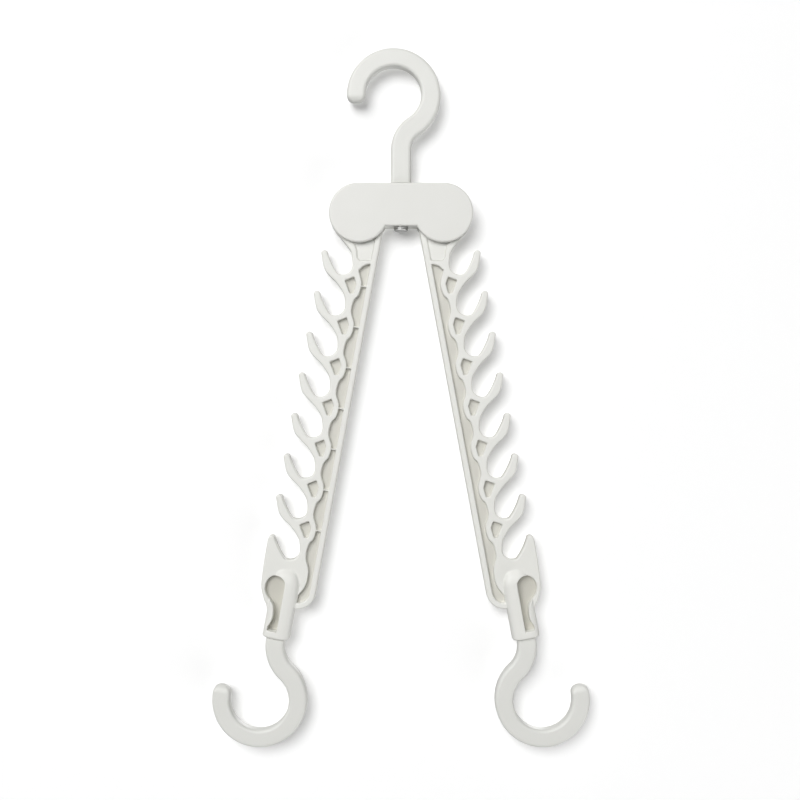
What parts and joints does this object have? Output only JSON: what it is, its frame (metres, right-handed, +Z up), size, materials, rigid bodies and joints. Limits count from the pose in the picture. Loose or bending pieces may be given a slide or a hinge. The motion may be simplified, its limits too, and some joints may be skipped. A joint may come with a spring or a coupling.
{
  "type": "space saving hanger",
  "caption": "Folding hanger: a top hook over a flat housing that carries two swinging arms with rows of cradles for clothes hangers and a turning hook at each arm's end.",
  "frame": {"origin": "saddle of the top hook, the highest point of its inside, where it rests on a rod", "axes": "+Z up, -Y the front, +X to the right seen from the front; at rest the arms hang down"},
  "size_m": [0.2554, 0.015, 0.4729],
  "materials": {
    "housing_plastic": "fine satin, moulded, off-white",
    "arm_plastic": "fine satin, moulded, off-white",
    "hook_plastic": "smooth satin, moulded, off-white",
    "steel": "plated steel screws and washer"
  },
  "bodies": {
    "hook": {"top_hook": "hook_plastic", "swivel_screw": "steel", "swivel_washer": "steel"},
    "housing": {"front_cover": "housing_plastic", "back_cover": "housing_plastic", "left_pivot_screw": "steel", "right_pivot_screw": "steel", "left_bridge_screw": "steel", "right_bridge_screw": "steel"},
    "left_arm": {"left_arm": "arm_plastic"},
    "right_arm": {"right_arm": "arm_plastic"},
    "left_end_hook": {"left_end_hook": "hook_plastic", "left_end_screw": "steel"},
    "right_end_hook": {"right_end_hook": "hook_plastic", "right_end_screw": "steel"}
  },
  "joints": [
    {"name": "top_swivel", "type": "hinge", "parent": "hook", "child": "housing", "pos_m": [0.0051, 0, -0.07915], "axis": [0, 0, 1], "continuous": true},
    {"name": "left_arm_fold", "type": "hinge", "parent": "housing", "child": "left_arm", "pos_m": [-0.0234, 0, -0.09942], "axis": [0, 1, 0], "range_deg": [0, 79.5]},
    {"name": "right_arm_fold", "type": "hinge", "parent": "housing", "child": "right_arm", "pos_m": [0.0336, 0, -0.09942], "axis": [0, -1, 0], "range_deg": [0, 79.5]},
    {"name": "left_end_swivel", "type": "hinge", "parent": "left_arm", "child": "left_end_hook", "pos_m": [-0.07972, 0, -0.38687], "axis": [-0.1822, 0, -0.9833], "continuous": true},
    {"name": "right_end_swivel", "type": "hinge", "parent": "right_arm", "child": "right_end_hook", "pos_m": [0.08992, 0, -0.38687], "axis": [0.1822, 0, -0.9833], "continuous": true}
  ]
}
